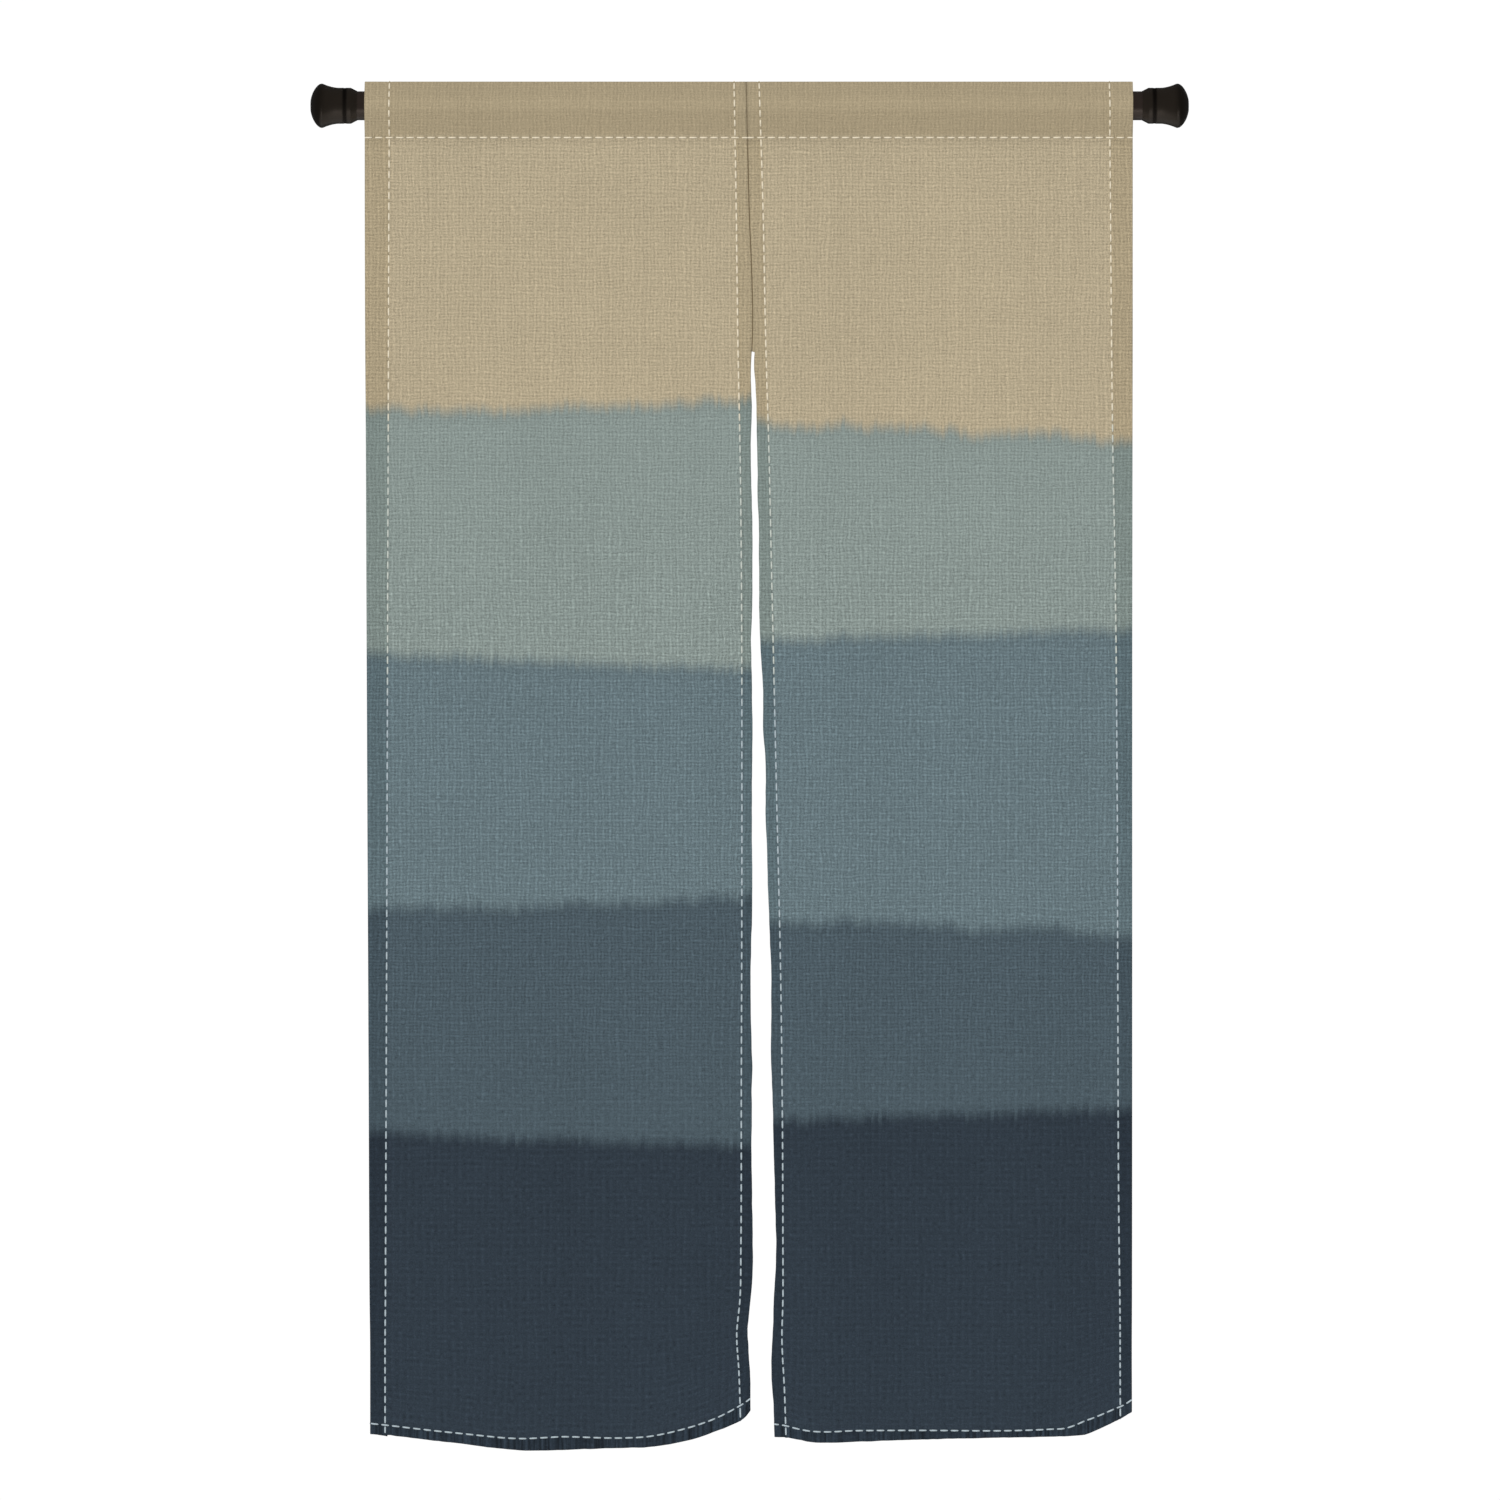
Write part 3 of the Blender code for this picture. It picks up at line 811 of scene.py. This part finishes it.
def cap_profile():
    """The end cap, from its flat tip over the dome, flare, grooved collar and bevel to its socket."""
    first = math.asin(CAP_TIP_RADIUS / CAP_FLARE_RADIUS)
    sink = CAP_DOME * (1 - math.cos(first) ** CAP_DOME_POWER)
    dome = [
        (CAP_DOME * (1 - math.cos(turn) ** CAP_DOME_POWER) - sink, CAP_FLARE_RADIUS * math.sin(turn))
        for turn in np.linspace(first, math.radians(80), 22)
    ]
    rim_end = CAP_DOME + CAP_RIM
    flare_start = rim_end + 0.6 * MM
    flare_radius = CAP_FLARE_RADIUS - 0.3 * MM
    flare = [
        (
            flare_start + (CAP_FLARE_END - flare_start) * share,
            CAP_BODY_RADIUS + (flare_radius - CAP_BODY_RADIUS) * (1 - share) ** 1.7,
        )
        for share in np.linspace(0, 1, 16)
    ]
    groove = [
        (
            CAP_GROOVE["x"] + CAP_GROOVE["half_width"] * side,
            CAP_BODY_RADIUS - CAP_GROOVE["depth"] * (1 - side * side) ** 2,
        )
        for side in np.linspace(-1, 1, 9)
    ]
    mouth = ROD_RADIUS + GAP
    bevel_start = CAP_LENGTH - CAP_BEVEL
    return [
        (0.0, 0.0),
        *dome,
        (CAP_DOME - 0.4 * MM, CAP_FLARE_RADIUS - 0.05 * MM),
        (CAP_DOME + 0.3 * MM, CAP_FLARE_RADIUS),
        (rim_end - 0.3 * MM, CAP_FLARE_RADIUS - 0.02 * MM),
        (rim_end + 0.2 * MM, CAP_FLARE_RADIUS - 0.12 * MM),
        *flare,
        *groove,
        (bevel_start - 0.5 * MM, CAP_BODY_RADIUS),
        (bevel_start, CAP_BODY_RADIUS - 0.08 * MM),
        (bevel_start + 0.5 * MM, CAP_BODY_RADIUS - 0.30 * MM),
        (CAP_LENGTH - 0.8 * MM, mouth + CAP_MOUTH_WALL + 0.05 * MM),
        (CAP_LENGTH, mouth + CAP_MOUTH_WALL - 0.2 * MM),
        (CAP_LENGTH, mouth),
        (CAP_LENGTH - CAP_SOCKET, mouth),
        (CAP_LENGTH - CAP_SOCKET, 0.0),
    ]


# ---------------------------------------------------------------- materials


class Value:
    """A socket in a graph of nodes, so that sums on it are written as sums."""

    def __init__(self, graph, socket):
        self.graph = graph
        self.socket = socket

    def output(self, which):
        """Another output of the same node."""
        return Value(self.graph, self.socket.node.outputs[which])

    def __add__(self, other):
        return self.graph.math("ADD", self, other)

    def __radd__(self, other):
        return self.graph.math("ADD", other, self)

    def __sub__(self, other):
        return self.graph.math("SUBTRACT", self, other)

    def __rsub__(self, other):
        return self.graph.math("SUBTRACT", other, self)

    def __mul__(self, other):
        return self.graph.math("MULTIPLY", self, other)

    def __rmul__(self, other):
        return self.graph.math("MULTIPLY", other, self)

    def __truediv__(self, other):
        return self.graph.math("DIVIDE", self, other)


class Graph:
    """The nodes of one material, or of the world."""

    def __init__(self, tree):
        self.tree = tree
        tree.nodes.clear()

    def node(self, kind, settings=None, sockets=None):
        """Adds a node with its settings, then the values or links of its sockets."""
        made = self.tree.nodes.new(kind)
        for name, value in (settings or {}).items():
            setattr(made, name, value)
        for name, value in (sockets or {}).items():
            if isinstance(value, Value):
                self.tree.links.new(value.socket, made.inputs[name])
            else:
                made.inputs[name].default_value = value
        return Value(self, made.outputs[0]) if made.outputs else None

    def math(self, operation, *terms):
        return self.node("ShaderNodeMath", {"operation": operation}, dict(enumerate(terms)))

    def place(self):
        """A point's place in the scene, in metres."""
        return self.node("ShaderNodeTexCoord").output("Object")

    def parts(self, vector):
        """The x, y and z of a vector."""
        split = self.node("ShaderNodeSeparateXYZ", None, {"Vector": vector})
        return split, split.output(1), split.output(2)

    def between(self, value, low, high):
        """0 below low, 1 above high and smooth in between."""
        sockets = {"Value": value, "From Min": low, "From Max": high}
        return self.node("ShaderNodeMapRange", {"interpolation_type": "SMOOTHSTEP"}, sockets)

    def vector(self, x, y, z):
        return self.node("ShaderNodeCombineXYZ", None, {"X": x, "Y": y, "Z": z})

    def noise(self, x, y, seed):
        """Unevenness about 0, with lumps about 1 across."""
        sockets = {"Vector": self.vector(x, y, seed), "Scale": 1.0, "Detail": 2.0}
        return self.node("ShaderNodeTexNoise", None, sockets) - 0.5

    def patches(self, x, y, seed):
        """Soft patches of 0 and 1, about 1 across."""
        return self.between(self.noise(x, y, seed), -0.12, 0.12)

    def mix(self, share, first, second):
        """A colour between two colours."""
        sockets = {0: share, 6: as_colour(first), 7: as_colour(second)}
        return self.node("ShaderNodeMix", {"data_type": "RGBA"}, sockets).output(2)

    def shade(self, colour, brightness):
        sockets = {"Vector": colour, "Scale": brightness}
        return self.node("ShaderNodeVectorMath", {"operation": "SCALE"}, sockets)

    def attribute(self, name):
        return self.node("ShaderNodeAttribute", {"attribute_name": name}).output("Fac")

    def bump(self, height, distance):
        return self.node("ShaderNodeBump", None, {"Height": height, "Distance": distance, "Strength": 1.0})


def as_colour(colour):
    return (*colour, 1.0) if isinstance(colour, tuple) else colour


def new_material(name):
    """An empty material and its graph."""
    material = bpy.data.materials.new(name)
    material.use_nodes = True
    return material, Graph(material.node_tree)


def surface(graph, sockets):
    """Ends a material with its shader."""
    shader = graph.node("ShaderNodeBsdfPrincipled", None, sockets)
    graph.node("ShaderNodeOutputMaterial", None, {"Surface": shader})


def dyed(graph, across, along, thread, dips, edges):
    """Sand cloth dipped four times, each time less deep and darker, with dye creeping up the yarns.

    thread numbers the yarns, dips says where each dye begins and edges where the panel's sides are.
    """
    wander = 0.022 * graph.noise(across / 0.14, 0.0, 2.0) + 0.014 * graph.noise(across / 0.030, 0.0, 4.0)
    creep = 0.020 * graph.noise(thread * 7.3, along / 0.30, 6.0)
    level = along + wander + creep
    colour = SAND
    for number, (dye, left_start, right_start) in enumerate(dips):
        slope = (right_start - left_start) / (edges[1] - edges[0])
        start = left_start - slope * edges[0] + 0.5 * wander * (1 if number % 2 else -1)
        past = level - start - slope * across
        colour = graph.mix(graph.between(past, -0.009, 0.012), colour, dye)
        at_start = graph.between(past, -0.010, 0.004) * (1 - graph.between(past, 0.004, 0.022))
        colour = graph.shade(colour, 1 - 0.07 * at_start)
    cloud = 1 + 0.10 * graph.noise(across / 0.11, along / 0.07, 9.0)
    cloud = cloud + 0.08 * graph.noise(across / 0.012, along / 0.20, 11.0)
    return graph.shade(colour, cloud)


def linen(name, dips, edges):
    """Coarse plain weave with slubs, dip-dyed from sand to navy."""
    material, graph = new_material(name)
    across, along, _ = graph.parts(graph.node("ShaderNodeUVMap", {"uv_map": "cloth"}))
    doubled, painted_stitch_shade, sewn, painted_shade_below_pocket, taut, ribbed = (
        graph.attribute(mark) for mark in ("doubled", "painted_stitch_shade", "sewn", "painted_shade_below_pocket", "taut", "ribbed")
    )

    # The yarns, counted across and along, a little crooked and unevenly spaced
    warp = across / WARP_PITCH + 2.6 * graph.noise(across / 0.035, along / 0.110, 1.0)
    warp = warp + 0.9 * graph.noise(across / 0.024, along / 0.013, 2.0)
    weft = along / WEFT_PITCH + 2.6 * graph.noise(across / 0.110, along / 0.035, 3.0)
    weft = weft + 0.9 * graph.noise(across / 0.013, along / 0.024, 4.0)
    warp_number, weft_number = (graph.math("ROUND", count) for count in (warp, weft))
    warp_ridge, weft_ridge = (graph.math("COSINE", math.tau * count) for count in (warp, weft))
    every_other_warp, every_other_weft = (graph.math("COSINE", math.pi * count) for count in (warp, weft))
    # Their ridges, stronger in patches, and in places over and under each other in turn
    warp_share = 0.3 + 1.6 * graph.patches(across / 0.006, along / 0.008, 5.0)
    weft_share = (0.3 + 1.6 * graph.patches(across / 0.008, along / 0.006, 6.0)) * (1 - 0.4 * taut)
    over = 1.4 * every_other_warp * every_other_weft * graph.patches(across / 0.010, along / 0.010, 7.0)
    ridges = warp_share * warp_ridge + weft_share * weft_ridge + over * (warp_ridge - weft_ridge)

    # Thick yarns beside thin ones, slubs along single yarns, specks at crossings and fine fibre
    thick = (0.5 + 5.0 * graph.noise(across / 0.014, along / 0.009, 8.0)) * every_other_warp
    thick = thick + (0.5 + 5.0 * graph.noise(across / 0.009, along / 0.014, 9.0)) * every_other_weft
    slub = graph.noise(warp_number * 3.7, along / 0.012, 10.0)
    slub = slub + graph.noise(across / 0.012, weft_number * 3.1, 11.0)
    crossing = {"Vector": graph.vector(warp_number, weft_number, 0.0)}
    speck = graph.node("ShaderNodeTexWhiteNoise", {"noise_dimensions": "2D"}, crossing) - 0.5
    speck = speck * (1 + warp_ridge) * (1 + weft_ridge)
    fibre = graph.noise(across / 0.0013, along / 0.0013, 12.0)
    # How light the cloth is: its yarns' own tones with painted light and shade on its weave's ridges,
    # painted shade beside stitches, and the ribs of its bottom hem
    deep, deepest = graph.between(along, *DEEP_DYE), graph.between(along, *DEEPEST_DYE)
    tone = 0.075 * ridges * (1 + 0.25 * deep - 0.95 * deepest)
    tone = tone + (0.045 + 0.040 * deep + 0.010 * deepest) * thick
    tone = tone + 0.04 * slub + (0.04 + 0.06 * deep) * speck + 1.1 * fibre
    tone = 1.02 + tone * (1 - 0.28 * taut)
    # Painted shade: beside the stitch lines, in the seam's groove and just below the pocket's stitches
    tone = tone * (1 - 0.20 * painted_stitch_shade * painted_stitch_shade) * (1 - 0.50 * sewn) * (1 - 0.12 * painted_shade_below_pocket)
    # Painted shade on the doubled cloth of the hems and pocket
    tone = tone * (1 - 0.03 * doubled)
    ribs = graph.noise(across / 0.0026, along / 0.080, 13.0)
    ribs = ribs * graph.between(graph.noise(across / 0.110, 0.0, 14.0), -0.20, 0.0)
    tone = tone * (1 + ribbed * (2.6 * ribs - 0.04))

    colour = dyed(graph, across, along, warp_number, dips, edges)
    # More painted shade on the doubled cloth, less where the dye is deep
    darker = doubled * (0.12 - 0.045 * graph.between(along, *HEM_SHADE))
    colour = graph.node("ShaderNodeGamma", None, {"Color": colour, "Gamma": 1 + darker})
    colour = graph.shade(colour, tone)
    sockets = {
        "Base Color": colour,
        "Roughness": 0.92,
        "Specular IOR Level": 0.25,
        "Normal": graph.bump(ridges, 0.10 * MM),
    }
    surface(graph, sockets)
    return material


def sewing_thread():
    """Twisted thread, cream on the sand cloth and taking the dye's tint lower down."""
    material, graph = new_material("sewing thread")
    x, _, z = graph.parts(graph.place())
    colour = graph.mix(graph.between(z, *TINT_SAGE), CREAM, PALE_SAGE)
    colour = graph.mix(graph.between(z, *TINT_BLUE), colour, PALE_BLUE)
    twist = graph.math("SINE", (x + z) * (math.tau / THREAD_TWIST))
    speck = graph.noise(x / 0.0012, z / 0.0012, 2.0)
    colour = graph.shade(colour, 0.94 + 0.07 * twist + 0.25 * speck)
    sockets = {
        "Base Color": colour,
        "Roughness": 0.75,
        "Specular IOR Level": 0.3,
        "Normal": graph.bump(twist, 0.08 * MM),
    }
    surface(graph, sockets)
    return material


def plain_thread(name, tint):
    """Thin thread of one colour."""
    material, graph = new_material(name)
    x, _, z = graph.parts(graph.place())
    speck = graph.noise(x / 0.0010, z / 0.0016, 2.0)
    sockets = {
        "Base Color": graph.shade(tint, 1 + 0.5 * speck),
        "Roughness": 0.85,
        "Specular IOR Level": 0.2,
    }
    surface(graph, sockets)
    return material


def satin(name, tint, roughness, grain, ring=0.0, dome=0.0):
    """A dark satin finish with a fine grain, a little uneven in gloss.

    On a cap it has painted shade and less gloss in the groove (ring) and painted shade on the dome, by
    these shares.
    """
    material, graph = new_material(name)
    place = graph.place()
    along, _, _ = graph.parts(place)
    from_end = graph.math("MINIMUM", along, ROD_SPAN - along)
    from_groove = graph.math("ABSOLUTE", from_end - CAP_GROOVE["x"])
    # Painted shade: darker in the groove, where the cap is also less glossy, and on the dome
    dull_and_shaded = ring * (1 - graph.between(from_groove, *CAP_GROOVE_SHADE))
    darker = dome * (1 - graph.between(from_end, *CAP_DOME_SHADE))
    fine, broad = (
        graph.node("ShaderNodeTexNoise", None, {"Vector": place, "Scale": scale, "Detail": 3.0}) - 0.5
        for scale in (1 / grain, 45.0)
    )
    sockets = {
        "Base Color": graph.shade(tint, (1 + 0.35 * broad + 0.25 * fine) * (1 - dull_and_shaded) * (1 - darker)),
        "Roughness": roughness + 0.12 * broad + 0.08 * fine + 0.5 * dull_and_shaded,
        "Specular IOR Level": 0.4,
        "Specular Tint": (1.0, 0.84, 0.72, 1.0),
        "Normal": graph.bump(fine, 0.03 * MM),
    }
    surface(graph, sockets)
    return material


# ---------------------------------------------------------------- stage, light and camera


def make_floor():
    """A pale floor that fades out before the view's edge."""
    centre = Vector((VIEW_CENTRE[0], 0.0, FLOOR["level"]))
    bm = bmesh.new()
    bmesh.ops.create_circle(bm, cap_ends=True, segments=ROUND_STEPS, radius=FLOOR["radius"])
    bmesh.ops.translate(bm, vec=centre, verts=bm.verts)
    mesh = bpy.data.meshes.new("floor")
    bm.to_mesh(mesh)
    bm.free()
    material, graph = new_material("pale floor")
    x, y, _ = graph.parts(graph.place())
    away = graph.math("SQRT", (x - centre.x) * (x - centre.x) + y * y)
    sockets = {
        "Base Color": (0.86, 0.86, 0.85, 1.0),
        "Roughness": 0.8,
        "Alpha": 1 - graph.between(away, *FLOOR["fade"]),
    }
    surface(graph, sockets)
    floor = add_object("floor", mesh, material)
    floor.visible_shadow = False  # the fill light comes from below


def make_sun(name, azimuth, elevation, strength, spread, shines):
    """A soft far light, with or without highlights. Azimuth 0 is the front and 90 the right."""
    light = bpy.data.lights.new(name, "SUN")
    light.energy = strength
    light.angle = math.radians(spread)
    item = bpy.data.objects.new(name, light)
    turn, lift = math.radians(azimuth), math.radians(elevation)
    source = Vector((math.sin(turn) * math.cos(lift), -math.cos(turn) * math.cos(lift), math.sin(lift)))
    item.rotation_euler = source.to_track_quat("Z", "Y").to_euler()
    item.visible_glossy = shines
    bpy.context.scene.collection.objects.link(item)


def make_world():
    """White behind the curtain, and a dimmer white that lights it."""
    world = bpy.data.worlds.new("studio")
    bpy.context.scene.world = world
    world.use_nodes = True
    graph = Graph(world.node_tree)
    path = graph.node("ShaderNodeLightPath")
    seen, glossy = path, path.output("Is Glossy Ray")
    strength = 0.45 + 0.57 * seen - 0.37 * glossy
    glow = graph.node("ShaderNodeBackground", None, {"Color": (1, 1, 1, 1), "Strength": strength})
    graph.node("ShaderNodeOutputWorld", None, {"Surface": glow})


def make_camera():
    """The photograph's view, from straight in front."""
    camera = bpy.data.cameras.new("camera")
    camera.sensor_width = SENSOR_WIDTH
    camera.lens = SENSOR_WIDTH * VIEW_DISTANCE / VIEW_WIDTH
    item = bpy.data.objects.new("camera", camera)
    item.location = (VIEW_CENTRE[0], -VIEW_DISTANCE, VIEW_CENTRE[1])
    item.rotation_euler = (math.radians(90), 0, 0)
    bpy.context.scene.collection.objects.link(item)
    bpy.context.scene.camera = item


def main():
    make_camera()
    bpy.context.scene.view_settings.view_transform = "Standard"
    make_world()
    for sun in SUNS:
        make_sun(*sun)
    make_floor()

    plastic = satin("cap plastic", CAP_BROWN, 0.40, 0.5 * MM, ring=0.85, dome=0.55)
    paint = satin("rod paint", ROD_BROWN, 0.29, 0.3 * MM)
    profile = cap_profile()
    bore = ROD_RADIUS - ROD_WALL
    tube_ends = [(ROD_START, ROD_RADIUS), (ROD_END, ROD_RADIUS), (ROD_END, bore), (ROD_START, bore)]
    tube = make_turned("tube", tube_ends, paint)
    left_cap = make_turned("left_end_cap", profile, plastic)
    right_cap = make_turned("right_end_cap", [(ROD_SPAN - x, radius) for x, radius in profile], plastic)

    thread = sewing_thread()
    seam_thread = make_threads(
        "seam_thread", seam_paths(), SEAM_THREAD_RADIUS, plain_thread("seam thread", SEAM_BROWN)
    )
    overcast = make_threads(
        "seam_overcasting", overcast_paths(), OVERCAST_RADIUS, plain_thread("overcasting", CREAM)
    )
    cloths = []
    for side, panel, dips, extras in (
        ("left", LEFT, DIPS_LEFT, [seam_thread, overcast]),
        ("right", RIGHT, DIPS_RIGHT, []),
    ):
        edges = sorted((panel.lines["outer"][-1], panel.lines["inner_stitch"][-1]))
        cloth = make_cloth(f"cloth_{side}", panel, linen(f"linen {side}", dips, edges))
        paths = [
            side_stitching(panel, "outer_stitch"),
            side_stitching(panel, "inner_stitch"),
            level_stitching(panel, -POCKET_STITCH, POCKET_THROUGH),
            level_stitching(panel, -HEM_STITCH, 2 * HEM_FOLD),
        ]
        stitching = make_threads(f"stitching_{side}", paths, THREAD_RADIUS, thread)
        node = f"panel_{side}"
        length = float(COURSE["along"][-1] - COURSE["along"][0])
        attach(cloth, "root")
        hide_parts(node)
        for piece in (stitching, *extras):
            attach(piece, "root")
        cloths.append(cloth)
    for piece, node, finish in (
        (tube, "rod", "rod"),
        (left_cap, "end_cap_left", "end_cap"),
        (right_cap, "end_cap_right", "end_cap"),
    ):
        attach(piece, "root")
        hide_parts(node)


main()
